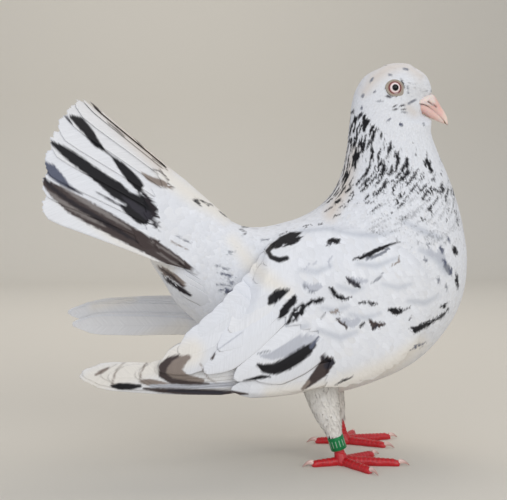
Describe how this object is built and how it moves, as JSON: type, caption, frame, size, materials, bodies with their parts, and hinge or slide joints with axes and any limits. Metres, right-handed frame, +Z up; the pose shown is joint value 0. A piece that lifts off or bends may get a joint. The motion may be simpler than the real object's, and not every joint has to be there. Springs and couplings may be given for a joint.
{
  "type": "oriental roller pigeon",
  "caption": "Standing oriental roller pigeon, white with black and grey flecks, tail raised over drooped wings, green ring on one leg.",
  "frame": {"origin": "on the floor under the middle of the bird's bounding box", "axes": "+X towards the bill, +Y towards the bird's left side, +Z up"},
  "size_m": [0.2512, 0.1122, 0.2382],
  "materials": {
    "plumage": "soft white feathers with black and grey flecks",
    "bill_horn": "flesh-pink horn, pale at the tip",
    "eye": "wet and glossy, pearl iris",
    "leg_skin": "red scaled skin",
    "claw_horn": "pale pink horn",
    "band": "green coated metal ring"
  },
  "bodies": {
    "root": {"head": "plumage", "neck": "plumage", "torso": "plumage", "rump": "plumage", "tail": "plumage", "wing_right": "plumage", "wing_left": "plumage", "thigh_right": "plumage", "thigh_left": "plumage", "bill_upper": "bill_horn", "bill_lower": "bill_horn", "eye_right": "eye", "eye_left": "eye", "tarsus_right": "leg_skin", "tarsus_left": "leg_skin", "toe_inner_right": "leg_skin", "toe_middle_right": "leg_skin", "toe_outer_right": "leg_skin", "toe_hind_right": "leg_skin", "toe_inner_left": "leg_skin", "toe_middle_left": "leg_skin", "toe_outer_left": "leg_skin", "toe_hind_left": "leg_skin", "claw_inner_right": "claw_horn", "claw_middle_right": "claw_horn", "claw_outer_right": "claw_horn", "claw_hind_right": "claw_horn", "claw_inner_left": "claw_horn", "claw_middle_left": "claw_horn", "claw_outer_left": "claw_horn", "claw_hind_left": "claw_horn", "leg_band": "band"}
  },
  "joints": []
}
